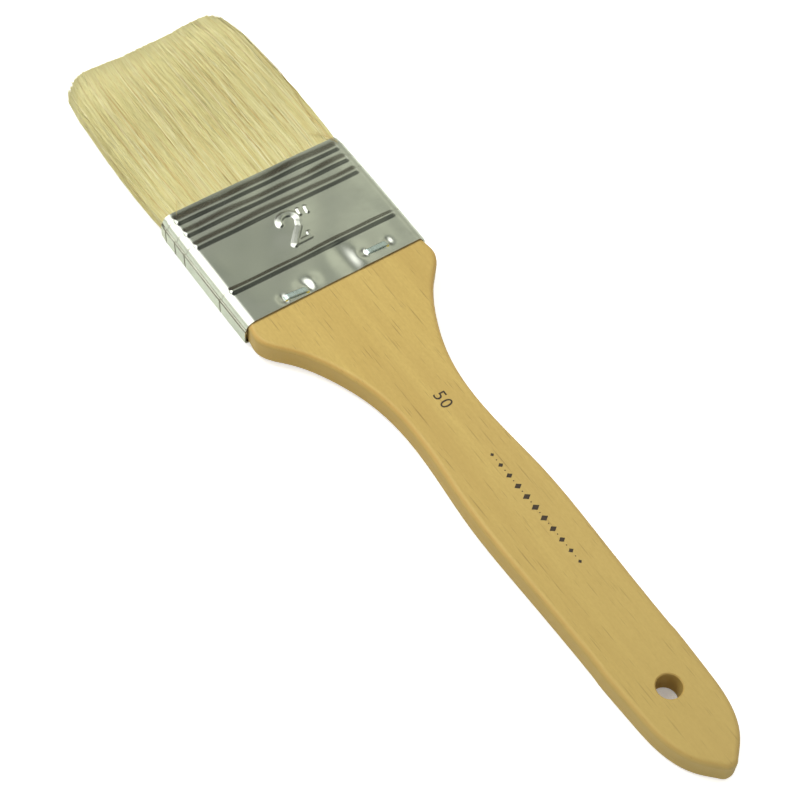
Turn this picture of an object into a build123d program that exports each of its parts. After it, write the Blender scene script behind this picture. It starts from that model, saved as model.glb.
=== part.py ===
"""Flat two-inch paint brush: beech handle, tinned ferrule, staples and a bristle pack that flexes."""

from build123d import *
from math import cos, radians, sin
import os

os.makedirs("parts", exist_ok=True)

# ---- driving dimensions, millimetres ----
# +Y runs from the handle's tail to the bristle tips, +Z is the front face, the brush lies on its back.

# ferrule: one folded strip of tinned sheet
FERRULE_W = 50.8
FERRULE_T = 7.4
FERRULE_L = 37.0
FERRULE_R = 2.4
SHEET = 0.4
END_Y = 29.5
MOUTH_Y = END_Y + FERRULE_L

# staple wire, and how far the crowns stand off the sheet
CROWN_W = 1.0
CROWN_H = 0.55
LEG_T = 0.5
LEG_L = 2.6

# the mid plane sits so that the back staples just touch z = 0
MID_Z = CROWN_H + FERRULE_T / 2

# raised ribs: three near the mouth and one over the end of the tenon
RIB_L = 45.8
RIB_W = 2.6
RIB_H = 0.4
RIB_FROM_END = (9.7, 25.2, 29.5, 33.7)

# lap seam on the left narrow side
SEAM_Z = 1.1
LAP = 0.25

# raised size numeral
NUMERAL_X = 0.4
NUMERAL_Y = END_Y + 18.0
NUMERAL_H = 8.2
NUMERAL_STROKE = 1.2
NUMERAL_RISE = 0.35

# handle: flat beech blank
HANDLE_T = 6.5
HANDLE_L = 147.0
TENON_W = 49.0
TENON_L = 13.0
EDGE_R = 1.25
SHOULDER_HALF_W = 24.9
SHOULDER_DROP = 2.6
SHOULDER_R = 4.2
# (half width, distance from the ferrule) down one side of the blank
SIDE_STATIONS = (
    (20.3, 10.9),
    (14.3, 20.4),
    (10.6, 30.4),
    (9.0, 45.5),
    (10.4, 66.0),
    (10.3, 92.0),
    (10.0, 114.0),
    (9.7, 127.0),
)
# the pointed tail: two bowed sides that meet in a blunt point
NOSE_STATIONS = ((8.5, 136.4), (5.4, 142.6), (2.0, 146.1))
HOLE_R = 2.95
HOLE_FROM_END = 125.3
HOLE_RIM = 0.25

# bristle pack, its filler strip and the setting that glues the root ends
KNOT_W = 49.0
KNOT_T = 6.3
KNOT_R = 1.9
PARTING = 0.1
SETTING_L = 4.0
SETTING_Y = END_Y + TENON_L + 0.3
ROOT_Y = SETTING_Y + SETTING_L + 0.05
FILLER_W = 43.0
FILLER_T = 2.0
FILLER_L = 13.0
BRISTLE_L = 51.0
TIP_Y = MOUTH_Y + BRISTLE_L
TIP_W = 47.2
TIP_T = 4.0
TIP_CORNER_R = 5.5
TIP_DISH = 0.7

# flexing: the pack bends about a line this share of its free length from the mouth
FLEX_SHARE = 0.15
FLEX_Y = MOUTH_Y + FLEX_SHARE * BRISTLE_L
FLEX_GAP = 0.3

# staples: centre across the brush, distance from the ferrule's end, crown length
STAPLES = {"left": (-10.4, 1.6, 6.2), "right": (13.1, 3.0, 6.2)}


def across(y):
    """Plane across the brush at y, with x to the right and y up, normal towards the tail."""
    return Plane(origin=(0, y, MID_Z), x_dir=(1, 0, 0), z_dir=(0, -1, 0))


def face(height, side):
    """Plane parallel to a broad face, at a height from the mid plane, normal outwards."""
    return Plane(origin=(0, 0, MID_Z + side * height), x_dir=(1, 0, 0), z_dir=(0, 0, side))


def staple_feet(side, place):
    """Centre of the crown on one face; the back ones are the front ones turned over."""
    x, from_end, crown_l = STAPLES[place]
    return (x * side, END_Y + from_end, crown_l)


# ---- ferrule ----
with BuildPart() as ferrule:
    with BuildSketch(across(END_Y)):
        RectangleRounded(FERRULE_W, FERRULE_T, FERRULE_R)
    extrude(amount=-FERRULE_L)
    for side in (1, -1):
        with BuildSketch(face(FERRULE_T / 2 - 0.02, side)):
            with Locations(*[(0, side * (END_Y + d)) for d in RIB_FROM_END]):
                SlotOverall(RIB_L, RIB_W)
        extrude(amount=RIB_H + 0.02, taper=50)
    with BuildSketch(across(END_Y)):
        RectangleRounded(FERRULE_W - 2 * SHEET, FERRULE_T - 2 * SHEET, FERRULE_R - SHEET)
    extrude(amount=-FERRULE_L, mode=Mode.SUBTRACT)
    # the ribs are pressed from inside, so each has a matching groove
    for side in (1, -1):
        with BuildSketch(face(FERRULE_T / 2 - SHEET - 0.02, side)):
            with Locations(*[(0, side * (END_Y + d)) for d in RIB_FROM_END]):
                SlotOverall(RIB_L - 0.6, RIB_W - 0.6)
        extrude(amount=RIB_H, taper=38, mode=Mode.SUBTRACT)
    # lap seam: the front flange sits one sheet lower and carries on under the side sheet
    with BuildSketch(across(END_Y)):
        with Locations((-FERRULE_W / 2 - 1 + LAP, SEAM_Z + 1)):
            Rectangle(2, 2)
    extrude(amount=-FERRULE_L, mode=Mode.SUBTRACT)
    with BuildSketch(across(END_Y)):
        with Locations((-FERRULE_W / 2 + SHEET + 0.15, 0.4)):
            Rectangle(0.4, 3.0)
    extrude(amount=-FERRULE_L)
    # slots for the staple legs
    for side in (1, -1):
        for place in STAPLES:
            x, y, crown_l = staple_feet(side, place)
            for end in (-1, 1):
                with Locations((x + end * (crown_l - LEG_T) / 2, y, MID_Z + side * FERRULE_T / 2)):
                    Box(LEG_T + 0.1, CROWN_W + 0.1, 4 * SHEET, mode=Mode.SUBTRACT)
    # raised numeral, a plain stroked 2
    with BuildSketch(face(FERRULE_T / 2 - 0.02, 1)):
        with BuildLine():
            bowl_r = NUMERAL_H * 0.27
            top = NUMERAL_Y + NUMERAL_H / 2 - bowl_r
            foot = NUMERAL_Y - NUMERAL_H / 2
            bowl = CenterArc((NUMERAL_X, top), bowl_r, 165, -205)
            Line(bowl @ 1, (NUMERAL_X - bowl_r, foot))
            Line((NUMERAL_X - bowl_r, foot), (NUMERAL_X + bowl_r * 1.1, foot))
        trace(line_width=NUMERAL_STROKE)
        for tick in (0, 1):
            with Locations((NUMERAL_X + 3.1 + 2.05 * tick, NUMERAL_Y + NUMERAL_H / 2 - 0.6)):
                SlotOverall(2.2, 0.9, rotation=75)
    extrude(amount=NUMERAL_RISE + 0.02)
ferrule.part.label = "ferrule"
export_step(ferrule.part, "parts/ferrule.step")

# ---- handle ----
with BuildPart() as handle:
    with BuildSketch(Plane.XY.offset(MID_Z - HANDLE_T / 2)):
        with BuildLine():
            corner = (SHOULDER_HALF_W, END_Y - SHOULDER_DROP)
            side_points = [(w, END_Y - d) for w, d in SIDE_STATIONS]
            nose_points = [(w, END_Y - d) for w, d in NOSE_STATIONS]
            top_edge = Line((0, END_Y), (TENON_W / 2, END_Y))
            flank = Line(top_edge @ 1, corner)
            side_line = Spline(
                *side_points,
                tangents=[(-0.66, -0.75), (-0.04, -1)],
            )
            Spline(corner, side_line @ 0, tangents=[flank % 1, side_line % 0])
            tip = (0, END_Y - HANDLE_L)
            Spline(side_line @ 1, *nose_points, tip, tangents=[side_line % 1, (-1, 0)])
            mirror(about=Plane.YZ)
        make_face()
    extrude(amount=HANDLE_T)
    rims = handle.faces().filter_by(Axis.Z).edges()
    butt = handle.faces().sort_by(Axis.Y)[-1].edges()
    fillet([e for e in rims if e not in butt], radius=EDGE_R)
    with BuildSketch(across(END_Y + TENON_L)):
        RectangleRounded(TENON_W - 0.1, HANDLE_T - 0.02, EDGE_R)
    extrude(amount=TENON_L + 1.0)
    with Locations((0, END_Y - HOLE_FROM_END, MID_Z)):
        Cylinder(HOLE_R, HANDLE_T * 2, mode=Mode.SUBTRACT)
    rim_edges = handle.edges().filter_by(GeomType.CIRCLE)
    rim_edges = rim_edges.filter_by(lambda e: abs(e.radius - HOLE_R) < 0.01)
    chamfer(rim_edges, HOLE_RIM)
    # mortices the staple legs bite into
    for side in (1, -1):
        for place in STAPLES:
            x, y, crown_l = staple_feet(side, place)
            for end in (-1, 1):
                leg_x = x + end * (crown_l - LEG_T) / 2
                depth = LEG_L + 0.1
                with Locations((leg_x, y, MID_Z + side * (FERRULE_T / 2 - depth / 2))):
                    Box(LEG_T + 0.06, CROWN_W + 0.06, depth, mode=Mode.SUBTRACT)
handle.part.label = "handle"
export_step(handle.part, "parts/handle.step")

# ---- staples: flat wire bent into a low bridge ----
for side_name, side in (("front", 1), ("back", -1)):
    for place in STAPLES:
        x, y, crown_l = staple_feet(side, place)
        with BuildPart() as staple:
            with Locations((x, y, MID_Z + side * (FERRULE_T / 2 + CROWN_H / 2 + 0.01))):
                Box(crown_l, CROWN_W, CROWN_H - 0.02)
            bend = staple.edges().filter_by(Axis.Y).group_by(Axis.Z)[-1 if side > 0 else 0]
            fillet(bend, radius=0.35)
            for end in (-1, 1):
                leg_x = x + end * (crown_l - LEG_T) / 2
                leg_z = MID_Z + side * (FERRULE_T / 2 - LEG_L / 2 + 0.02)
                with Locations((leg_x, y, leg_z)):
                    Box(LEG_T, CROWN_W, LEG_L)
        label = f"staple_{side_name}_{place}"
        staple.part.label = label
        export_step(staple.part, f"parts/{label}.step")

# ---- setting: the glue block that holds the root ends ----
with BuildPart() as setting:
    with BuildSketch(across(SETTING_Y)):
        RectangleRounded(KNOT_W - 0.4, KNOT_T, KNOT_R)
    extrude(amount=-SETTING_L)
setting.part.label = "setting"
export_step(setting.part, "parts/setting.step")

# ---- filler strip: the thin plug between the front and back roots ----
with BuildPart() as filler_strip:
    with BuildSketch(across(ROOT_Y)):
        Rectangle(FILLER_W, FILLER_T)
    extrude(amount=-FILLER_L)
    far_end = filler_strip.faces().sort_by(Axis.Y)[-1].edges().filter_by(Axis.X)
    chamfer(far_end, 0.7)
filler_strip.part.label = "filler_strip"
export_step(filler_strip.part, "parts/filler_strip.step")

# ---- bristles: fixed roots, then tips that flex about a line just past the mouth ----
TURN_R = KNOT_T / 2

for half_name, side in (("front", 1), ("back", -1)):
    with BuildPart() as root:
        with BuildSketch(across(ROOT_Y)):
            RectangleRounded(KNOT_W, KNOT_T, KNOT_R)
            with Locations((0, -side * (KNOT_T / 2 - PARTING / 2))):
                Rectangle(KNOT_W + 2, KNOT_T, mode=Mode.SUBTRACT)
        extrude(amount=-(FLEX_Y - ROOT_Y))
        with BuildSketch(across(ROOT_Y)):
            Rectangle(FILLER_W + 0.2, FILLER_T + 0.1)
        extrude(amount=-(FILLER_L + 0.1), mode=Mode.SUBTRACT)
        with Locations((0, FLEX_Y, MID_Z)):
            Cylinder(
                TURN_R + FLEX_GAP,
                KNOT_W + 4,
                rotation=(0, 90, 0),
                mode=Mode.SUBTRACT,
            )
    label = f"bristle_root_{half_name}"
    root.part.label = label
    export_step(root.part, f"parts/{label}.step")

    # tips: a rounded inner end that turns inside the roots, then thinning towards the free end
    with BuildPart() as tips:
        with BuildSketch(Plane(origin=(0, FLEX_Y, MID_Z), x_dir=(0, 1, 0), z_dir=(1, 0, 0))):
            with BuildLine():
                reach = TIP_Y - FLEX_Y
                inner = side * PARTING / 2
                heel = (-(TURN_R**2 - inner**2) ** 0.5, inner)
                crest = (0, side * TURN_R)
                low_tip = (reach, side * TIP_T / 2)
                bow = (-TURN_R * sin(radians(45)), side * TURN_R * cos(radians(45)))
                ThreePointArc(heel, bow, crest)
                Spline(crest, (reach / 2, side * (TURN_R - 0.35)), low_tip)
                Polyline(low_tip, (reach, inner), heel)
            make_face()
        extrude(amount=KNOT_W, both=True)
        with BuildSketch(Plane.XY.offset(-5)):
            with BuildLine():
                back_y = FLEX_Y - 2 * TURN_R
                flex_edge = (KNOT_W / 2, FLEX_Y)
                start = (TIP_W / 2, TIP_Y - TIP_CORNER_R)
                crown_pt = (TIP_W / 2 - TIP_CORNER_R, TIP_Y)
                Polyline((0, back_y), (KNOT_W / 2, back_y), flex_edge, start)
                Spline(start, crown_pt, tangents=[(0, 1), (-1, 0)])
                Spline(crown_pt, (0, TIP_Y - TIP_DISH), tangents=[(-1, 0), (-1, 0)])
                mirror(about=Plane.YZ)
            make_face()
        extrude(amount=30, mode=Mode.INTERSECT)
    label = f"bristles_{half_name}"
    tips.part.label = label
    export_step(tips.part, f"parts/{label}.step")
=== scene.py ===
import bpy
import bmesh
import math
import numpy as np
from mathutils import Matrix, Vector


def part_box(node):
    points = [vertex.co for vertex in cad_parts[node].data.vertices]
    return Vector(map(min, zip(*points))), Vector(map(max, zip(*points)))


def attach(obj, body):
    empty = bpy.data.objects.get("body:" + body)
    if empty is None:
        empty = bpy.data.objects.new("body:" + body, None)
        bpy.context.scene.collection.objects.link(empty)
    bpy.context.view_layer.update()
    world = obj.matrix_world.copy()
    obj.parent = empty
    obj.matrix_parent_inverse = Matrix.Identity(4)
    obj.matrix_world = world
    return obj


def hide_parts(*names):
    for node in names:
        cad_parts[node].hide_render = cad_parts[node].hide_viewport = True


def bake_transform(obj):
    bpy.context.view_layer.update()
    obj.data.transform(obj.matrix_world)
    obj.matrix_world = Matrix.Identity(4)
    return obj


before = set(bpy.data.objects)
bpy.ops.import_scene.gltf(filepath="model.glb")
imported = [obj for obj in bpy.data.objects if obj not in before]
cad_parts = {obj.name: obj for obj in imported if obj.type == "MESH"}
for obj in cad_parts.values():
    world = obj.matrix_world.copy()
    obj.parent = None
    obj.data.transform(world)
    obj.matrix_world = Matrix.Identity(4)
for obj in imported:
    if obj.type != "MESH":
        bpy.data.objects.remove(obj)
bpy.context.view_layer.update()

MM = 0.001
rng = np.random.default_rng(7)

BODY = "brush_body"

# ---- places read from the CAD frame ----
f_lo, f_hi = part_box("ferrule")
h_lo, h_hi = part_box("handle")
t_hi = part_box("bristles_front")[1]
END_Y = f_lo.y
MOUTH_Y = f_hi.y
TIP_Y = t_hi.y
MID_Z = (h_lo.z + h_hi.z) / 2
FRONT_Z = h_hi.z
TAIL_Y = h_lo.y

# ferrule section
HALF_W = 25.4 * MM
HALF_T = 3.7 * MM
CORNER = 2.4 * MM
BACK_CORNER = 1.2 * MM
EASY = 1.25
SHEET = 0.4 * MM
LAP = 0.25 * MM
SEAM_Z = 1.3 * MM
RIBS = [END_Y + d * MM for d in (9.7, 25.2, 29.5, 33.7)]
RIB_END_X = 23.3 * MM
STAPLES = [(-10.4 * MM, 1.6 * MM), (13.1 * MM, 3.0 * MM)]
CROWN_L = 5.9 * MM
# heights of the tucked flange, and points round the lapped corner
TUCKED = (0.2 * MM, 0.7 * MM, 1.1 * MM, 1.28 * MM)
CORNER_POINTS = 22


# ---- small node-tree helpers ----
def new_material(name):
    mat = bpy.data.materials.new(name)
    mat.use_nodes = True
    tree = mat.node_tree
    tree.nodes.clear()
    out = tree.nodes.new("ShaderNodeOutputMaterial")
    shader = tree.nodes.new("ShaderNodeBsdfPrincipled")
    tree.links.new(shader.outputs[0], out.inputs[0])
    return mat, tree, shader


def node(tree, kind, inputs=None, **props):
    """A new node with its properties set, and each input given a value or linked to a socket."""
    made = tree.nodes.new(kind)
    for key, value in props.items():
        setattr(made, key, value)
    for key, value in (inputs or {}).items():
        if isinstance(value, bpy.types.NodeSocket):
            tree.links.new(value, made.inputs[key])
        else:
            made.inputs[key].default_value = value
    return made


def mapped(tree, scale):
    coords = node(tree, "ShaderNodeTexCoord").outputs["Object"]
    return node(tree, "ShaderNodeMapping", {"Vector": coords, "Scale": scale}).outputs[0]


def noise(tree, vector, scale=1.0, detail=3.0, rough=0.5, warp=0.0):
    return node(
        tree,
        "ShaderNodeTexNoise",
        {"Vector": vector, "Scale": scale, "Detail": detail, "Roughness": rough, "Distortion": warp},
    ).outputs["Fac"]


def math_node(tree, operation, a, b=0.0):
    return node(tree, "ShaderNodeMath", {0: a, 1: b}, operation=operation).outputs[0]


def span(tree, value, low, high, to_low=0.0, to_high=1.0, kind="LINEAR"):
    """Carry low..high over to to_low..to_high, held at both ends."""
    made = node(
        tree,
        "ShaderNodeMapRange",
        {"Value": value, "From Min": low, "From Max": high, "To Min": to_low, "To Max": to_high},
        interpolation_type=kind,
        clamp=True,
    )
    return made.outputs[0]


def blend_colour(tree, factor, a, b):
    """Colour a where the factor is 0, b where it is 1."""
    made = node(tree, "ShaderNodeMix", data_type="RGBA", blend_type="MIX")
    for index, value in ((0, factor), (6, a), (7, b)):
        if isinstance(value, bpy.types.NodeSocket):
            tree.links.new(value, made.inputs[index])
        else:
            made.inputs[index].default_value = value
    return made.outputs[2]


def bump(tree, height, strength, distance):
    inputs = {"Height": height, "Strength": strength, "Distance": distance}
    return node(tree, "ShaderNodeBump", inputs).outputs[0]


# ---- materials ----
def beech():
    mat, tree, shader = new_material("beech_lacquered")
    fibre = noise(tree, mapped(tree, (2600, 70, 2600)), 1.0, 4.0, 0.6)
    bands = noise(tree, mapped(tree, (190, 9, 190)), 1.0, 3.0, 0.55, 0.4)
    cloud = noise(tree, mapped(tree, (28, 14, 28)), 1.0, 2.0, 0.5)
    pale = (0.665, 0.485, 0.140, 1)
    deep = (0.570, 0.395, 0.108, 1)
    tone = blend_colour(tree, span(tree, bands, 0.32, 0.68), pale, deep)
    tone = blend_colour(tree, span(tree, cloud, 0.3, 0.7, 0.0, 0.35), tone, (0.60, 0.435, 0.155, 1))
    tone = blend_colour(tree, span(tree, fibre, 0.35, 0.75, 0.0, 0.30), tone, (0.47, 0.31, 0.09, 1))
    marks = None
    layers = ((850, 40, 0.19, 0.06, 0.30), (1300, 66, 0.2, 0.07, 0.2), (2200, 120, 0.2, 0.06, 0.3))
    for across, along, low, high, keep in layers:
        cells = node(
            tree,
            "ShaderNodeTexVoronoi",
            {"Vector": mapped(tree, (across, along, across)), "Scale": 1.0, "Randomness": 1.0},
        )
        dash = span(tree, cells.outputs["Distance"], low, high)
        chosen = node(tree, "ShaderNodeSeparateColor", {0: cells.outputs["Color"]}).outputs[0]
        dash = math_node(tree, "MULTIPLY", dash, span(tree, chosen, keep, keep + 0.25))
        marks = dash if marks is None else math_node(tree, "MAXIMUM", marks, dash)
    tone = blend_colour(tree, math_node(tree, "MULTIPLY", marks, 0.62), tone, (0.27, 0.16, 0.045, 1))
    mottle = noise(tree, mapped(tree, (1900, 900, 1900)), 1.0, 3.0, 0.6)
    tone = blend_colour(tree, span(tree, mottle, 0.4, 0.75, 0.0, 0.40), tone, (0.50, 0.335, 0.085, 1))
    # a thin darker orange band where the surface turns over the rounded edges; walls facing sideways, the
    # hang hole's wall too, get painted shade as if lit from above
    up = node(tree, "ShaderNodeSeparateXYZ", {0: node(tree, "ShaderNodeNewGeometry").outputs["Normal"]})
    lean = math_node(tree, "ABSOLUTE", up.outputs[2])
    edge = math_node(
        tree, "MULTIPLY", span(tree, lean, 0.35, 0.7), span(tree, lean, 0.97, 0.8)
    )
    tone = blend_colour(tree, math_node(tree, "MULTIPLY", edge, 0.42), tone, (0.58, 0.31, 0.065, 1))
    # painted shade: surfaces facing sideways are darkened
    tone = blend_colour(tree, span(tree, lean, 0.6, 0.2, 0.0, 0.75), tone, (0.50, 0.315, 0.058, 1))
    # a greyer tail from handling, and a painted shadow line on the wood where the sheet ends
    where = node(tree, "ShaderNodeSeparateXYZ", {0: node(tree, "ShaderNodeTexCoord").outputs["Object"]})
    worn = span(tree, where.outputs[1], END_Y - 40 * MM, TAIL_Y, 0.0, 0.55)
    tone = blend_colour(tree, worn, tone, (0.49, 0.355, 0.105, 1))
    # painted shadow cast by the ferrule's end onto the wood
    line = span(tree, where.outputs[1], END_Y - 0.55 * MM, END_Y - 0.1 * MM, 0.0, 1.0, "SMOOTHSTEP")
    tone = blend_colour(tree, math_node(tree, "MULTIPLY", line, 0.6), tone, (0.16, 0.08, 0.022, 1))
    tree.links.new(tone, shader.inputs["Base Color"])
    tree.links.new(span(tree, bands, 0.3, 0.7, 0.42, 0.54), shader.inputs["Roughness"])
    shader.inputs["Coat Weight"].default_value = 0.25
    shader.inputs["Coat Roughness"].default_value = 0.32
    relief = math_node(tree, "SUBTRACT", math_node(tree, "MULTIPLY", fibre, 0.35), marks)
    tree.links.new(bump(tree, relief, 0.35, 0.00006), shader.inputs["Normal"])
    return mat


def tinned(name, colour, low, high):
    mat, tree, shader = new_material(name)
    shader.inputs["Metallic"].default_value = 1.0
    streak = noise(tree, mapped(tree, (1500, 160, 1500)), 1.0, 4.0, 0.65)
    smear = noise(tree, mapped(tree, (60, 110, 60)), 1.0, 3.0, 0.6)
    spots = noise(tree, mapped(tree, (420, 420, 420)), 1.0, 2.0, 0.5)
    darker = tuple(c * 0.86 for c in colour[:3]) + (1,)
    tone = blend_colour(tree, span(tree, smear, 0.3, 0.7), colour, darker)
    tone = blend_colour(tree, span(tree, spots, 0.64, 0.76, 0.0, 0.10), tone, (0.34, 0.31, 0.22, 1))
    return mat, tree, shader, tone, streak, smear


def ferrule_metal():
    mat, tree, shader, tone, streak, smear = tinned("tinned_sheet", (0.86, 0.87, 0.82, 1), 0.2, 0.3)
    where = node(tree, "ShaderNodeSeparateXYZ", {0: node(tree, "ShaderNodeTexCoord").outputs["Object"]})
    # painted shade: thin dark lines for the folds below each rib on the narrow sides, and fainter ones round
    # the corners
    high = math_node(tree, "SUBTRACT", where.outputs[2], MID_Z)
    side = span(tree, math_node(tree, "ABSOLUTE", where.outputs[0]), HALF_W - 0.7 * MM, HALF_W - 0.3 * MM)
    side = math_node(tree, "MULTIPLY", side, span(tree, high, SEAM_Z + 0.05 * MM, SEAM_Z - 0.05 * MM))
    off_middle = math_node(tree, "ABSOLUTE", where.outputs[0])
    bend = span(tree, off_middle, HALF_W - 2.0 * MM, HALF_W - 1.4 * MM, 0.0, 0.4)
    bend = math_node(tree, "MULTIPLY", bend, span(tree, high, SEAM_Z, SEAM_Z + 0.1 * MM))
    fold_shade = 0.0
    for rib_y in RIBS:
        for mask, shift, wide in ((side, 1.0, 0.40), (bend, 0.3, 0.30)):
            lean = math_node(tree, "MULTIPLY", high, 0.14)
            fold_y = math_node(tree, "ADD", lean, rib_y + shift * MM)
            away = math_node(tree, "SUBTRACT", where.outputs[1], fold_y)
            fold = span(tree, math_node(tree, "ABSOLUTE", away), wide * MM, 0.08 * MM)
            fold_shade = math_node(tree, "MAXIMUM", fold_shade, math_node(tree, "MULTIPLY", fold, mask))
    # dark lines either side of the lap's cut edge: grime below the edge on the outer sheet, and painted shade
    # in the inner corner on the flange
    left = span(tree, where.outputs[0], -HALF_W + 1.0 * MM, -HALF_W + 0.5 * MM)
    broken = span(tree, noise(tree, mapped(tree, (260, 110, 260)), 1.0, 2.0, 0.6), 0.34, 0.54, 0.55, 1.0)
    seam_grime_and_shade = 0.0
    for level, strength in ((-0.26, 1.0), (0.34, 0.7)):
        away = math_node(tree, "ABSOLUTE", math_node(tree, "SUBTRACT", high, SEAM_Z + level * MM))
        seam_grime_and_shade = math_node(tree, "MAXIMUM", seam_grime_and_shade, span(tree, away, 0.26 * MM, 0.15 * MM, 0.0, strength))
    seam_grime_and_shade = math_node(tree, "MULTIPLY", seam_grime_and_shade, broken)
    ledge_dimmed = math_node(tree, "ABSOLUTE", math_node(tree, "SUBTRACT", high, SEAM_Z))
    ledge_dimmed = math_node(tree, "MULTIPLY", span(tree, ledge_dimmed, 0.02 * MM, 0.01 * MM, 0.0, 0.3), left)
    # painted shade: the ledge's colour is darkened to dim its reflection
    tone = blend_colour(tree, ledge_dimmed, tone, (0.34, 0.33, 0.25, 1))
    seam_grime_and_shade = math_node(tree, "MULTIPLY", seam_grime_and_shade, span(tree, ledge_dimmed, 0.2, 0.6, 1.0, 0.0))
    grime_and_shade = math_node(tree, "MULTIPLY", seam_grime_and_shade, left)
    grime_and_shade = math_node(tree, "MAXIMUM", grime_and_shade, fold_shade)
    # grime, painted shade of the lap's inner corner and of the folds darken the tin here
    tone = blend_colour(tree, math_node(tree, "MULTIPLY", grime_and_shade, 0.92), tone, (0.13, 0.10, 0.05, 1))
    tree.links.new(tone, shader.inputs["Base Color"])
    dull = math_node(tree, "MULTIPLY", grime_and_shade, 0.3)
    rough = math_node(tree, "ADD", span(tree, smear, 0.3, 0.7, 0.17, 0.25), dull)
    tree.links.new(rough, shader.inputs["Roughness"])
    height = math_node(tree, "SUBTRACT", math_node(tree, "MULTIPLY", streak, 0.12), grime_and_shade)
    tree.links.new(bump(tree, height, 0.4, 0.00005), shader.inputs["Normal"])
    return mat


def zinc_wire():
    mat, tree, shader, tone, streak, smear = tinned("zinc_wire", (0.84, 0.97, 1.0, 1), 0.25, 0.4)
    tree.links.new(tone, shader.inputs["Base Color"])
    tree.links.new(span(tree, streak, 0.3, 0.7, 0.24, 0.36), shader.inputs["Roughness"])
    tree.links.new(bump(tree, streak, 0.3, 0.00004), shader.inputs["Normal"])
    return mat


def bristle_material(name, pale, deep, gap):
    mat, tree, shader = new_material(name)
    strand = node(tree, "ShaderNodeAttribute", attribute_name="strand").outputs["Fac"]
    fine = noise(tree, mapped(tree, (3200, 26, 3200)), 1.0, 3.0, 0.6)
    lock = noise(tree, mapped(tree, (620, 10, 620)), 1.0, 3.0, 0.55)
    tone = blend_colour(tree, span(tree, fine, 0.3, 0.72), pale, deep)
    # painted shade: darker streaks in the gaps between locks
    tone = blend_colour(tree, span(tree, lock, 0.52, 0.75, 0.0, 0.16), tone, gap)
    tone = blend_colour(tree, span(tree, strand, 0.80, 0.95, 0.0, 0.6), tone, (0.97, 0.94, 0.70, 1))
    tone = blend_colour(tree, span(tree, strand, 0.17, 0.05, 0.0, 0.7), tone, (0.60, 0.42, 0.15, 1))
    where = node(tree, "ShaderNodeSeparateXYZ", {0: node(tree, "ShaderNodeTexCoord").outputs["Object"]})
    tip = span(tree, where.outputs[1], TIP_Y - 16 * MM, TIP_Y, 0.0, 0.35)
    tone = blend_colour(tree, tip, tone, (0.84, 0.80, 0.46, 1))
    tree.links.new(tone, shader.inputs["Base Color"])
    shader.inputs["Roughness"].default_value = 0.55
    shader.inputs["Specular IOR Level"].default_value = 0.35
    tree.links.new(bump(tree, fine, 0.35, 0.00008), shader.inputs["Normal"])
    return mat


def plain_procedural(name, colour, dark, scale, rough):
    mat, tree, shader = new_material(name)
    grain = noise(tree, mapped(tree, scale), 1.0, 4.0, 0.6)
    tree.links.new(blend_colour(tree, span(tree, grain, 0.3, 0.7), colour, dark), shader.inputs["Base Color"])
    tree.links.new(span(tree, grain, 0.3, 0.7, rough, rough + 0.15), shader.inputs["Roughness"])
    tree.links.new(bump(tree, grain, 0.3, 0.0001), shader.inputs["Normal"])
    return mat


def cad_material(name, mat):
    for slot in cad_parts[name].material_slots:
        slot.material = mat


def add_mesh(name, points, faces, mat, smooth=True):
    mesh = bpy.data.meshes.new(name)
    mesh.from_pydata([tuple(p) for p in points], [], [tuple(f) for f in faces])
    mesh.update()
    obj = bpy.data.objects.new(name, mesh)
    bpy.context.scene.collection.objects.link(obj)
    mesh.materials.append(mat)
    if smooth:
        mesh.polygons.foreach_set("use_smooth", [True] * len(mesh.polygons))
    return obj


def smooth01(t):
    t = np.clip(t, 0, 1)
    return t * t * (3 - 2 * t)


WOOD = beech()
TIN = ferrule_metal()
WIRE = zinc_wire()
HAIR = bristle_material(
    "hog_bristle", (0.79, 0.735, 0.375, 1), (0.71, 0.645, 0.298, 1), (0.60, 0.46, 0.185, 1)
)
# a darker copy of the bristle material for the inside of the pack: painted shade deep among the strands
HAIR_IN_SHADE = bristle_material(
    "hog_bristle_shaded", (0.74, 0.66, 0.30, 1), (0.66, 0.57, 0.24, 1), (0.52, 0.42, 0.16, 1)
)

cad_material("handle", WOOD)
cad_material(
    "setting",
    plain_procedural("setting_glue", (0.30, 0.20, 0.08, 1), (0.22, 0.14, 0.05, 1), (300,) * 3, 0.4),
)
cad_material(
    "filler_strip",
    plain_procedural("filler_wood", (0.55, 0.41, 0.23, 1), (0.44, 0.31, 0.16, 1), (900, 60, 900), 0.6),
)


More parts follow.
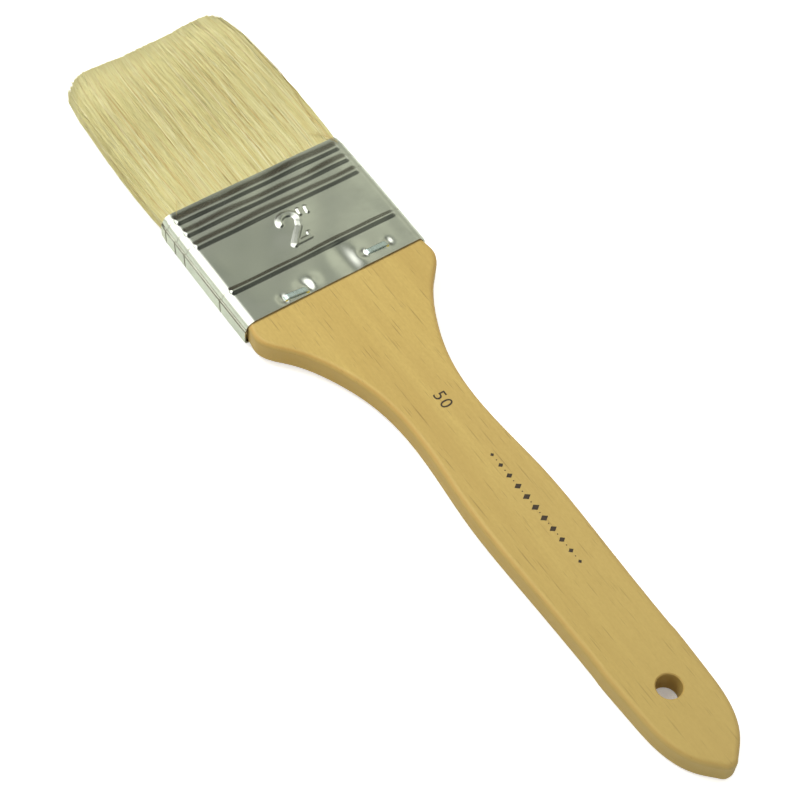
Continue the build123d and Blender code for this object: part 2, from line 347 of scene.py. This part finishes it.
# ---- ferrule: one folded strip with ribs, numeral, dimples and a lap seam ----
def section_points():
    """Down the folded strip once round: (x, z, nx, nz, layer) with the front flange tucked under the lap."""
    flat_x, flat_z = HALF_W - CORNER, HALF_T - CORNER
    back_x, back_z = HALF_W - BACK_CORNER, HALF_T - BACK_CORNER
    pts = []

    def line(x0, z0, x1, z1, nx, nz, count):
        for i in range(count):
            t = i / count
            pts.append((x0 + (x1 - x0) * t, z0 + (z1 - z0) * t, nx, nz, 0.0))

    def arc(cx, cz, radius, start, count, stretch=1.0):
        for i in range(count):
            a = math.radians(start - 90 * i / count)
            nx, nz = math.cos(a), math.sin(a)
            pts.append((cx + radius * stretch * nx, cz + radius * nz, nx, nz, 0.0))

    # the lapped corner was folded by hand, so it starts to turn sooner
    easy_x = HALF_W - EASY * CORNER
    arc(-easy_x, flat_z, CORNER, 180, CORNER_POINTS, EASY)
    line(-easy_x, HALF_T, flat_x, HALF_T, 0, 1, 250)
    arc(flat_x, flat_z, CORNER, 90, 18)
    line(HALF_W, flat_z, HALF_W, -back_z, 1, 0, 6)
    arc(back_x, -back_z, BACK_CORNER, 0, 14)
    line(back_x, -HALF_T, -back_x, -HALF_T, 0, -1, 120)
    arc(-back_x, -back_z, BACK_CORNER, 270, 14)
    line(-HALF_W, -back_z, -HALF_W, SEAM_Z, -1, 0, 8)
    pts.append((-HALF_W, SEAM_Z, -1, 0, 0.0))
    # the front flange starts below the lap, one sheet further in
    head = [(-HALF_W, z, -1, 0, 1.0) for z in TUCKED]
    return head + pts


def numeral_path():
    """Centre line of the raised 2 on the front, and its two ticks, in ferrule coordinates."""
    cx, top, foot = -0.15 * MM, END_Y + 20.55 * MM, END_Y + 13.9 * MM
    bowl = [
        (cx + 2.35 * MM * math.cos(math.radians(a)), top + 2.05 * MM * math.sin(math.radians(a)))
        for a in range(178, -40, -9)
    ]
    stem = [(cx + 1.3 * MM, top - 2.5 * MM), (cx - 0.7 * MM, top - 4.6 * MM), (cx - 2.5 * MM, foot)]
    base = [(cx - 2.5 * MM, foot), (cx + 2.1 * MM, foot + 0.1 * MM), (cx + 2.4 * MM, foot + 1.3 * MM)]
    ticks = [
        [(3.75 * MM, END_Y + 22.4 * MM), (3.45 * MM, END_Y + 20.9 * MM)],
        [(5.75 * MM, END_Y + 22.2 * MM), (5.45 * MM, END_Y + 20.7 * MM)],
    ]
    return [bowl + stem, base] + ticks


def path_distance(x, y, path):
    """Distance to the path, and how far right of the nearest point on it each place lies."""
    best = np.full(x.shape, 1.0)
    aside = np.zeros_like(x)
    for (x0, y0), (x1, y1) in zip(path[:-1], path[1:]):
        dx, dy = x1 - x0, y1 - y0
        size = dx * dx + dy * dy + 1e-18
        t = np.clip(((x - x0) * dx + (y - y0) * dy) / size, 0, 1)
        away = np.hypot(x - x0 - t * dx, y - y0 - t * dy)
        aside = np.where(away < best, x - x0 - t * dx, aside)
        best = np.minimum(best, away)
    return best, aside


def dent(x, y, px, py, wide, long, deep):
    """A soft round dent (deep > 0) or bulge (deep < 0), sizes in millimetres."""
    d = ((x - px) / (wide * MM)) ** 2 + ((y - py) / (long * MM)) ** 2
    return -deep * MM * np.exp(-d)


def rib_relief(x, y):
    """The ribs alone: the three at the mouth run out more gently on their far side."""
    h = np.zeros_like(y)
    for k, rib_y in enumerate(RIBS):
        sway = np.sin(x * 170 + 1.9 * k) + 0.6 * np.sin(x * 430 + 3.1 * k)
        far = (1.5 if k == 0 else 2.35) * MM * (1 + 0.10 * sway)
        near = 1.35 * MM * (1 - 0.06 * sway)
        d = np.where(y > rib_y, (y - rib_y) / far, (rib_y - y) / near)
        crown = 0.47 * MM * (1 + 0.07 * sway) * smooth01((RIB_END_X - x) / (1.1 * MM))
        h = np.maximum(h, crown * 0.5 * (1 + np.cos(np.pi * np.clip(d, 0, 1))))
    return h


def relief(x, y, front):
    """Height off the flat broad face, outwards."""
    h = rib_relief(x, y)
    if front:
        # the punch lifted the sheet round the numeral
        h += dent(x, y, 0.2 * MM, END_Y + 17.9 * MM, 4.6, 5.5, -0.10) * (h < 0.05 * MM)
        for path in numeral_path():
            kind = {2: (0.74, 0.16, 0.36, 0.25), 3: (1.0, 0.35, 0.27, 0.0)}
            wide, flat, high, tip = kind.get(len(path), (1.18, 0.55, 0.36, 0.42))
            away, aside = path_distance(x, y, path)
            stroke = 0.5 * (1 + np.cos(np.pi * np.clip((away / MM - flat) / (wide - flat), 0, 1)))
            # each stroke is higher along its right side
            rise = high * MM * stroke * (1 + tip * np.clip(aside / (0.7 * MM), -1, 1))
            h = np.maximum(h, rise - 0.03 * MM)
    flip = 1 if front else -1
    for sx, sy in STAPLES:
        for end in (-1, 1):
            px = flip * (sx + end * CROWN_L / 2)
            h += dent(x, y, px + 0.5 * MM * end * flip, END_Y + sy + 0.3 * MM, 0.95, 1.1, 0.40)
            h += dent(x, y, px - 0.45 * MM * end * flip, END_Y + sy, 0.7, 0.8, -0.16)
    # the staples pulled the sheet in on one side of each
    h += dent(x, y, flip * 4.9 * MM, END_Y + 3.6 * MM, 2.3, 4.4, 0.32)
    h += dent(x, y, flip * 8.9 * MM, END_Y + 3.2 * MM, 2.3, 3.4, -0.19)
    h += dent(x, y, flip * -7.8 * MM, END_Y + 3.0 * MM, 1.3, 1.4, 0.26)
    h += dent(x, y, flip * -4.9 * MM, END_Y + 2.8 * MM, 1.5, 1.7, -0.26)
    h = 0.34 * MM * np.tanh(h / (0.34 * MM)) * (h < 0) + h * (h >= 0)
    # soft unevenness of thin sheet over wood and glue
    waves = (
        (0.031, 210, 150, 0.7), (0.022, -330, 240, 2.1), (0.012, 520, -310, 4.0), (0.008, 90, 610, 1.2),
    )
    fade = smooth01((HALF_W - CORNER - np.abs(x)) / (4 * MM))
    for amount, kx, ky, phase in waves:
        h += amount * MM * np.sin(kx * x + ky * y + phase + (0 if front else 1.7)) * fade
    return h


def build_ferrule():
    pts = section_points()
    ys = []
    y = END_Y
    while y < MOUTH_Y - 1e-9:
        near = min(abs(y - rib) for rib in RIBS) < 1.9 * MM
        ys.append(y)
        y += 0.16 * MM if near else 0.21 * MM
    ys.append(MOUTH_Y)
    ys = np.array(ys)
    px = np.array([p[0] for p in pts])
    pz = np.array([p[1] for p in pts])
    nx = np.array([p[2] for p in pts])
    nz = np.array([p[3] for p in pts])
    under = np.array([p[4] for p in pts])
    X, Y = np.meshgrid(px, ys)
    h = np.zeros_like(X)
    on_front = nz > 0.999
    on_back = nz < -0.999
    h[:, on_front] = relief(X[:, on_front], Y[:, on_front], True)
    h[:, on_back] = relief(X[:, on_back], Y[:, on_back], False)
    # the lap: the front-left corner lies one sheet lower, and rises out of it over the corner
    turn = np.clip(np.degrees(np.arctan2(nz, -nx)), 0, 90)
    low = (np.arange(len(pts)) <= len(TUCKED) + CORNER_POINTS) & (under < 0.5)
    drop = np.where(low, LAP * (1 - smooth01(turn / 70)), 0.0)
    drop = np.where(under > 0.5, LAP + 0.04 * MM, drop)
    h -= drop[None, :]
    # the ribs die away round the left corner, and the sheet is drawn in at both ends
    corner = (nx < -0.001) & (nz > 0.001)
    share = smooth01((nz - 0.93) / 0.07) * corner
    h += rib_relief(X, Y) * share[None, :]
    mouth = np.exp(-((MOUTH_Y - Y) / (1.3 * MM)) ** 2)
    tail = np.exp(-((Y - END_Y) / (0.5 * MM)) ** 2)
    h -= 0.20 * MM * mouth + 0.05 * MM * tail
    swell = np.sin(math.pi * (Y - END_Y) / (MOUTH_Y - END_Y)) * np.abs(nx)[None, :] ** 3
    h += 0.12 * MM * swell
    vx = X + nx[None, :] * h
    vz = pz[None, :] + nz[None, :] * h + MID_Z
    rows, cols = X.shape
    outer = np.stack([vx, Y, vz], 2).reshape(-1, 3)
    faces = []
    for r in range(rows - 1):
        a = r * cols
        for c in range(cols - 1):
            faces.append((a + c, a + cols + c, a + cols + c + 1, a + c + 1))
    points = [tuple(p) for p in outer]
    # cut edge of the lap, then the inner skin and the rims at both ends
    last = cols - 1
    base = len(points)
    for r in range(rows):
        points.append((-HALF_W + LAP + 0.03 * MM, ys[r], SEAM_Z + MID_Z))
    for r in range(rows - 1):
        faces.append((r * cols + last, (r + 1) * cols + last, base + r + 1, base + r))
    for edge_row, depth in ((0, 3.0 * MM), (rows - 1, -3.0 * MM)):
        step_rows = []
        ring = outer[edge_row * cols:(edge_row + 1) * cols]
        for k, (inset, dy) in enumerate(((0.12, 0.0), (SHEET / MM, 0.06), (SHEET / MM, depth / MM))):
            start = len(points)
            for c in range(cols):
                points.append((
                    ring[c][0] - nx[c] * inset * MM,
                    ring[c][1] + (dy * MM if k == 2 else math.copysign(dy, depth) * MM),
                    ring[c][2] - nz[c] * inset * MM,
                ))
            step_rows.append(start)
        previous = edge_row * cols
        for start in step_rows:
            for c in range(cols - 1):
                quad = (previous + c, previous + c + 1, start + c + 1, start + c)
                faces.append(quad if edge_row == 0 else quad[::-1])
            previous = start
    obj = add_mesh("ferrule_shell", points, faces, TIN)
    obj.data.set_sharp_from_angle(angle=math.radians(40))
    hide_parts("ferrule")
    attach(obj, BODY)
    return obj


build_ferrule()


# ---- staples: flat wire bridges, with a dab of old glue at each foot ----
def build_staple(name, side, x, y, lean):
    """Flat wire bridge; lean is how far its right end sits below its left end."""
    path = []
    half = CROWN_L / 2
    top = HALF_T + 0.24 * MM
    for t in np.linspace(0, 1, 25):
        u = -half + CROWN_L * t
        edge = min(t, 1 - t) * CROWN_L
        z = top - 0.45 * MM * math.exp(-(edge / (0.34 * MM)) ** 2) + 0.03 * MM * math.sin(math.pi * t)
        path.append((u, z))
    path = [(-half, HALF_T - 1.6 * MM)] + path + [(half, HALF_T - 1.6 * MM)]
    w, t = 0.70 * MM, 0.17 * MM
    profile = []
    for i in range(12):
        a = 2 * math.pi * (i + 0.5) / 12
        profile.append((
            w * math.copysign(abs(math.cos(a)) ** 0.25, math.cos(a)),
            t * math.copysign(abs(math.sin(a)) ** 0.25, math.sin(a)),
        ))
    points, faces = [], []
    for i, (u, z) in enumerate(path):
        a = path[max(i - 1, 0)]
        b = path[min(i + 1, len(path) - 1)]
        d = Vector((b[0] - a[0], b[1] - a[1])).normalized()
        for across, up in profile:
            points.append((
                x + (u - d.y * up),
                y + across - lean * u / CROWN_L,
                MID_Z + side * (z + d.x * up),
            ))
    n = len(profile)
    for i in range(len(path) - 1):
        for k in range(n):
            quad = (i * n + k, i * n + (k + 1) % n, (i + 1) * n + (k + 1) % n, (i + 1) * n + k)
            faces.append(quad if side > 0 else quad[::-1])
    faces.append(tuple(range(n)))
    faces.append(tuple(range(len(points) - n, len(points)))[::-1])
    obj = add_mesh(name + "_wire", points, faces, WIRE)
    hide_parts(name)
    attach(obj, BODY)


GLUE = plain_procedural("old_glue", (0.60, 0.50, 0.09, 1), (0.38, 0.31, 0.06, 1), (1500,) * 3, 0.25)
for side_name, side in (("front", 1), ("back", -1)):
    for place, (sx, sy), lean in zip(("left", "right"), STAPLES, (0.5 * MM, 0.1 * MM)):
        build_staple(f"staple_{side_name}_{place}", side, side * sx, END_Y + sy, side * lean)
        for end in (-1, 1):
            blob = bmesh.new()
            bmesh.ops.create_icosphere(blob, subdivisions=3, radius=0.50 * MM)
            for v in blob.verts:
                lump = 1 + 0.22 * math.sin(v.co.x * 9000 + end) * math.cos(v.co.y * 7000 + side)
                v.co = Vector((v.co.x * 1.05 * lump, v.co.y * 0.7, v.co.z * 0.35))
                v.co += Vector((
                    side * sx + end * (CROWN_L / 2 - 0.25 * MM),
                    END_Y + sy - 0.78 * MM - end * lean / 2,
                    MID_Z + side * (HALF_T - 0.10 * MM),
                ))
            mesh = bpy.data.meshes.new("glue")
            blob.to_mesh(mesh)
            blob.free()
            mesh.polygons.foreach_set("use_smooth", [True] * len(mesh.polygons))
            mesh.materials.append(GLUE)
            label = f"glue_{side_name}_{place}_{'a' if end < 0 else 'b'}"
            dab = bpy.data.objects.new(label, mesh)
            bpy.context.scene.collection.objects.link(dab)
            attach(dab, BODY)


# ---- bristles ----
FREE = TIP_Y - MOUTH_Y


def half_width(v):
    """Half width of the pack at a share v of its free length."""
    return np.interp(v, (-0.1, 0.0, 0.12, 0.35, 0.6, 0.8, 0.9, 1.0),
                     (24.6, 24.75, 25.1, 24.9, 24.4, 23.9, 23.4, 22.0)) * MM


def half_thick(v):
    return np.interp(v, (-0.1, 0.0, 0.12, 0.35, 0.7, 1.0), (3.1, 3.15, 3.3, 3.1, 2.6, 2.0)) * MM


def top_line(x):
    """How far short of the full length the trimmed tips are, across the width."""
    s = x / (23.6 * MM)
    left = 6.6 * MM * np.clip((-s - 0.70) / 0.30, 0, 1.05) ** 1.9
    right = 6.0 * MM * np.clip((s - 0.82) / 0.18, 0, 1.05) ** 1.6
    dip = 0.40 * MM * np.exp(-((x + 6 * MM) / (5 * MM)) ** 2)
    return left + right + dip + 0.2 * MM - 0.95 * MM * smooth01((x - 5 * MM) / (12 * MM))


def lock_offset(x, side):
    """Slow unevenness of the surface, where strands gather into locks."""
    return (
        0.03 * np.sin(x * 2600 + side * 1.3)
        + 0.02 * np.sin(x * 5100 + 2.0 + side)
        + 0.05 * np.sin(x * 1150 + 0.4 * side)
    ) * MM


def build_strands(name, count, side, layer_low, layer_high):
    """side 1 front, -1 back; layers run from the middle of the pack (0) to its surface (1)."""
    segments = 7
    corners = 3
    s = rng.uniform(-1, 1, count)
    s = np.sign(s) * np.abs(s) ** 0.97
    layer = layer_low + (layer_high - layer_low) * rng.uniform(0, 1, count) ** 0.6
    drift = rng.normal(0, 0.016, count) + (rng.uniform(0, 1, count) < 0.10) * rng.normal(0, 0.05, count)
    bow = rng.normal(0, 0.35, count) * MM
    bow_z = rng.normal(0, 0.16, count) * MM
    width = rng.uniform(0.075, 0.135, count) * MM
    short = rng.exponential(0.36, count) * MM
    short = np.where(rng.uniform(0, 1, count) < 0.10, rng.uniform(0, 9, count) * MM, short)
    short -= 0.22 * MM * rng.uniform(0, 1, count) ** 3
    shade = rng.uniform(0, 1, count)
    turn = rng.uniform(0, 2 * math.pi, count)
    v0 = -0.045
    x_tip = s * half_width(np.ones(count)) + drift * FREE * 0.5
    length = FREE - top_line(x_tip) - short
    ring_pts = np.zeros((count, segments + 1, corners, 3))
    for i in range(segments + 1):
        t = i / segments
        y = v0 * FREE + (length - v0 * FREE) * t
        v = y / FREE
        w = half_width(v)
        edge = np.sqrt(np.clip(1 - np.abs(s) ** 9, 0, 1))
        x = s * w + drift * y * np.clip(v * 2, 0, 1) + bow * np.sin(math.pi * np.clip(v, 0, 1))
        limit = w + 0.25 * MM
        x = np.clip(x, -limit, limit)
        z = side * layer * half_thick(v) * (0.35 + 0.65 * edge)
        z += side * lock_offset(x, side) * np.clip(v * 3, 0, 1) * layer
        z += bow_z * np.sin(math.pi * np.clip(v, 0, 1)) * np.clip(v * 2, 0, 1)
        z = np.clip(z, -half_thick(v) - 0.2 * MM, half_thick(v) + 0.2 * MM)
        inside = v < 0
        z = np.where(inside, np.clip(z, -3.1 * MM, 3.1 * MM), z)
        x = np.where(inside, np.clip(x, -24.7 * MM, 24.7 * MM), x)
        r = width * (1.0 if i < segments else 0.55) * (1 - 0.22 * t)
        for k in range(corners):
            a = turn + 2 * math.pi * k / corners
            ring_pts[:, i, k, 0] = x + r * np.cos(a)
            ring_pts[:, i, k, 1] = MOUTH_Y + y
            ring_pts[:, i, k, 2] = MID_Z + z + r * np.sin(a)
    points = ring_pts.reshape(-1, 3)
    per = (segments + 1) * corners
    one = []
    for i in range(segments):
        for k in range(corners):
            one.append((i * corners + k, i * corners + (k + 1) % corners,
                        (i + 1) * corners + (k + 1) % corners, (i + 1) * corners + k))
    quads = (np.array(one)[None] + (np.arange(count) * per)[:, None, None]).reshape(-1, 4)
    tip_face = np.array([[segments * corners, segments * corners + 1, segments * corners + 2]])
    tips = (tip_face[None] + (np.arange(count) * per)[:, None, None]).reshape(-1, 3)
    mesh = bpy.data.meshes.new(name)
    mesh.from_pydata(points, [], [tuple(q) for q in quads.tolist()] + [tuple(q) for q in tips.tolist()])
    mesh.update()
    mesh.polygons.foreach_set("use_smooth", [True] * len(mesh.polygons))
    tag = mesh.attributes.new("strand", "FLOAT", "POINT")
    tag.data.foreach_set("value", np.repeat(shade, per).astype(np.float32))
    mesh.materials.append(HAIR)
    obj = bpy.data.objects.new(name, mesh)
    bpy.context.scene.collection.objects.link(obj)
    return obj


def bend_with_pack(obj):
    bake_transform(obj)


COUNT = 4500
for side_name, side in (("front", 1), ("back", -1)):
    outer = build_strands(f"strands_{side_name}", COUNT, side, 0.72, 1.0)
    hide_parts(f"bristles_{side_name}", f"bristle_root_{side_name}")
    bend_with_pack(outer)
    inner = build_strands(f"strands_{side_name}_inner", COUNT * 3 // 4, side, 0.0, 0.80)
    bend_with_pack(inner)


def build_core():
    """The dense inside of the pack, which closes the gaps between strands; its darker colour is painted
    shade.
    """
    points, faces = [], []
    around, along = 96, 44
    for j in range(along + 1):
        v = -0.3 + (0.985 + 0.3) * j / along
        w = float(half_width(v)) - 0.75 * MM
        t = float(half_thick(v)) - 0.48 * MM
        for i in range(around):
            a = 2 * math.pi * i / around
            x = w * math.copysign(abs(math.cos(a)) ** 0.22, math.cos(a))
            z = t * math.copysign(abs(math.sin(a)) ** 0.42, math.sin(a))
            y = v * FREE
            if v > 0.6:
                y = min(y, FREE - float(top_line(np.array(x))) - 1.5 * MM)
            rib = 0.08 * MM * math.sin(x * 6100 + 1.0) + 0.06 * MM * math.sin(x * 9700)
            points.append((x, MOUTH_Y + y, MID_Z + z + math.copysign(rib, z)))
    for j in range(along):
        for i in range(around):
            k = (i + 1) % around
            faces.append((j * around + i, j * around + k, (j + 1) * around + k, (j + 1) * around + i))
    for ring, reverse in ((0, False), (along, True)):
        loop = [ring * around + i for i in range(around)]
        faces.append(tuple(loop[::-1] if not reverse else loop))
    obj = add_mesh("bristle_core", points, [f[::-1] for f in faces], HAIR_IN_SHADE)
    bend_with_pack(obj)


build_core()


# ---- a few loose hairs that have worked out over the mouth of the ferrule ----
def loose_hair(name, points, radius):
    curve = bpy.data.curves.new(name, "CURVE")
    curve.dimensions = "3D"
    line = curve.splines.new("NURBS")
    line.points.add(len(points) - 1)
    for p, co in zip(line.points, points):
        p.co = (*co, 1)
    line.order_u = 3
    line.use_endpoint_u = True
    curve.bevel_depth = radius
    curve.bevel_resolution = 2
    curve.materials.append(HAIR)
    obj = bpy.data.objects.new(name, curve)
    bpy.context.scene.collection.objects.link(obj)
    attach(obj, BODY)


for i, (x, y, dx, dy) in enumerate((
    (21.0, 3.5, 2.6, -5.0), (19.2, 4.2, 3.9, -4.4), (22.6, 2.5, 1.0, -4.6), (-19.0, 3.0, -2.4, -3.6),
)):
    z = MID_Z + HALF_T
    loose_hair(f"loose_hair_{i}", [
        (x * MM, MOUTH_Y + y * MM, z - 0.35 * MM),
        ((x + dx * 0.45) * MM, MOUTH_Y + (y + dy * 0.4) * MM, z + 0.12 * MM),
        ((x + dx) * MM, MOUTH_Y + (y + dy) * MM, z + 0.10 * MM),
    ], 0.05 * MM)


# ---- printed size number and a row of lozenges, in place of maker's lettering ----
INK = plain_procedural("print_ink", (0.035, 0.026, 0.018, 1), (0.075, 0.052, 0.03, 1), (2500,) * 3, 0.5)


def printed_text(name, words, size, x, y):
    curve = bpy.data.curves.new(name, "FONT")
    curve.body = words
    curve.size = size
    curve.space_character = 1.15
    curve.extrude = 0.01 * MM
    curve.resolution_u = 4
    curve.align_x = "CENTER"
    curve.align_y = "CENTER"
    curve.materials.append(INK)
    obj = bpy.data.objects.new(name, curve)
    bpy.context.scene.collection.objects.link(obj)
    obj.rotation_euler = (0, 0, -math.pi / 2)
    obj.location = (x, y, FRONT_Z + 0.012 * MM)
    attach(obj, BODY)


printed_text("size_print", "50", 4.4 * MM, 1.6 * MM, END_Y - 40.5 * MM)


def printed_garland(name, x, y0, y1, count):
    """A row of lozenges that swell and shrink, with a dot between each pair."""
    points, faces = [], []
    z = FRONT_Z + 0.015 * MM

    def patch(y, wide, long, corners):
        start = len(points)
        for i in range(corners):
            a = 2 * math.pi * i / corners
            points.append((x + wide / 2 * math.cos(a), y + long / 2 * math.sin(a), z))
        faces.append(tuple(range(start, start + corners)))

    gap = (y1 - y0) / (count - 1)
    for i in range(count):
        swell = math.sin(math.pi * (i + 0.7) / (count + 0.4))
        patch(y0 + gap * i, (0.7 + 1.5 * swell) * MM, (0.9 + 0.7 * swell) * MM, 4)
        if i < count - 1:
            patch(y0 + gap * (i + 0.5), 0.32 * MM, 0.32 * MM, 12)
    obj = add_mesh(name, points, faces, INK, smooth=False)
    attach(obj, BODY)


printed_garland("garland_print", 2.4 * MM, END_Y - 91.0 * MM, END_Y - 58.5 * MM, 11)


# ---- floor, light and camera ----
def build_floor():
    size = 3.0
    slope = h_lo.z / (END_Y - TAIL_Y)
    points = [(x, y, (END_Y - y) * slope) for y in (-size, size) for x in (-size, size)]
    mat, tree, shader = new_material("studio_floor")
    speck = noise(tree, mapped(tree, (40, 40, 40)), 1.0, 3.0, 0.5)
    tone = blend_colour(tree, speck, (0.86, 0.86, 0.85, 1), (0.90, 0.90, 0.89, 1))
    paths = node(tree, "ShaderNodeLightPath")
    tone = blend_colour(tree, paths.outputs["Is Glossy Ray"], tone, (0.77, 0.82, 0.70, 1))
    tree.links.new(tone, shader.inputs["Base Color"])
    shader.inputs["Roughness"].default_value = 0.8
    shader.inputs["Specular IOR Level"].default_value = 0.1
    shader.inputs["Emission Color"].default_value = (1, 1, 0.99, 1)
    where = node(tree, "ShaderNodeTexCoord").outputs["Object"]
    # painted shadow: the floor's glow is dimmed round the spot seen through the hang hole
    hole_shadow_centre = (0.0, TAIL_Y + 21.7 * MM, 0.0)
    away = node(tree, "ShaderNodeVectorMath", {0: where, 1: hole_shadow_centre}, operation="DISTANCE").outputs["Value"]
    glow_dimmed_round_hole = span(tree, away, 5.5 * MM, 9 * MM, 0.22, 0.62)
    lift = math_node(tree, "MULTIPLY", paths.outputs["Is Camera Ray"], glow_dimmed_round_hole)
    tree.links.new(lift, shader.inputs["Emission Strength"])
    obj = add_mesh("studio_floor", points, [(0, 1, 3, 2)], mat, smooth=False)


build_floor()


def world_light():
    """Soft dome for matt surfaces; for polished ones, the softboxes and dark gaps of a light tent."""
    world = bpy.data.worlds.new("studio")
    bpy.context.scene.world = world
    world.use_nodes = True
    tree = world.node_tree
    tree.nodes.clear()
    out = tree.nodes.new("ShaderNodeOutputWorld")
    back = tree.nodes.new("ShaderNodeBackground")
    tree.links.new(back.outputs[0], out.inputs[0])
    ray = node(tree, "ShaderNodeTexCoord").outputs["Generated"]

    def lobe(tone, direction, low, high, colour, share=1.0):
        aim = Vector(direction).normalized()
        facing = node(tree, "ShaderNodeVectorMath", {0: ray, 1: tuple(aim)}, operation="DOT_PRODUCT")
        amount = span(tree, facing.outputs["Value"], low, high, 0.0, share, "SMOOTHSTEP")
        return blend_colour(tree, amount, tone, colour)

    tent = (0.205, 0.225, 0.178, 1)
    tent = lobe(tent, (1.0, 0.0, 0.0), 0.362, 0.392, (0.64, 0.67, 0.53, 1), 0.9)
    tent = lobe(tent, (1.0, 0.0, 0.0), 0.50, 0.64, (0.12, 0.12, 0.10, 1), 0.3)
    tent = lobe(tent, (1.0, 0.0, 0.0), 0.84, 0.92, (0.62, 0.64, 0.54, 1))
    tent = lobe(tent, (0.0, -1.0, 0.0), -0.32, 0.06, (0.018, 0.021, 0.020, 1), 0.96)
    tent = lobe(tent, (0.0, -1.0, 0.0), 0.50, 0.66, (0.36, 0.385, 0.31, 1))
    tent = lobe(tent, (0.15, 0.98, 0.0), 0.64, 0.88, (0.050, 0.042, 0.028, 1), 0.97)
    tent = lobe(tent, (1.0, 0.0, 0.0), 0.350, 0.395, (0.50, 0.53, 0.41, 1), 0.24)
    tent = lobe(tent, (-0.88, 0.47, 0.0), 0.80, 0.95, (0.70, 0.74, 0.60, 1))
    tent = lobe(tent, (-0.42, 0.45, 0.78), 0.73, 0.87, (0.85, 0.87, 0.80, 1))
    tent = lobe(tent, (-0.42, 0.45, 0.78), 0.80, 0.93, (2.0, 2.05, 1.9, 1))
    paths = node(tree, "ShaderNodeLightPath")
    dome = (0.50, 0.50, 0.49, 1)
    tone = blend_colour(tree, paths.outputs["Is Glossy Ray"], dome, tent)
    tone = blend_colour(tree, paths.outputs["Is Camera Ray"], tone, (0.93, 0.93, 0.92, 1))
    tree.links.new(tone, back.inputs["Color"])
    back.inputs["Strength"].default_value = 1.0


world_light()


def area(name, place, size, power, colour):
    light = bpy.data.lights.new(name, "AREA")
    light.shape = "DISK"
    light.size = size
    light.energy = power
    light.color = colour
    obj = bpy.data.objects.new(name, light)
    bpy.context.scene.collection.objects.link(obj)
    obj.location = place
    obj.rotation_mode = "QUATERNION"
    obj.rotation_quaternion = Vector(place).to_track_quat("Z", "Y")
    obj.visible_glossy = False


area("key", (-0.26, 0.48, 0.78), 0.6, 5.4, (1.0, 1.0, 0.985))
area("fill", (0.60, -0.25, 0.90), 0.9, 1.6, (1.0, 0.99, 0.97))

camera = bpy.data.cameras.new("camera")
camera.sensor_width = 36.0
camera.lens = 103.5
camera.clip_start = 0.01
camera.clip_end = 20
eye = bpy.data.objects.new("camera", camera)
bpy.context.scene.collection.objects.link(eye)
place = Vector((-0.2005, -0.2301, 0.4330))
forward = Vector((0.3738, 0.4322, -0.8206)).normalized()
up = Vector((0.4343, 0.7003, 0.5666))
right = forward.cross(up).normalized()
up = right.cross(forward).normalized()
eye.matrix_world = Matrix((
    (right.x, up.x, -forward.x, place.x),
    (right.y, up.y, -forward.y, place.y),
    (right.z, up.z, -forward.z, place.z),
    (0, 0, 0, 1),
))
bpy.context.scene.camera = eye
bpy.context.scene.view_settings.view_transform = "Standard"
bpy.context.scene.view_settings.look = "None"
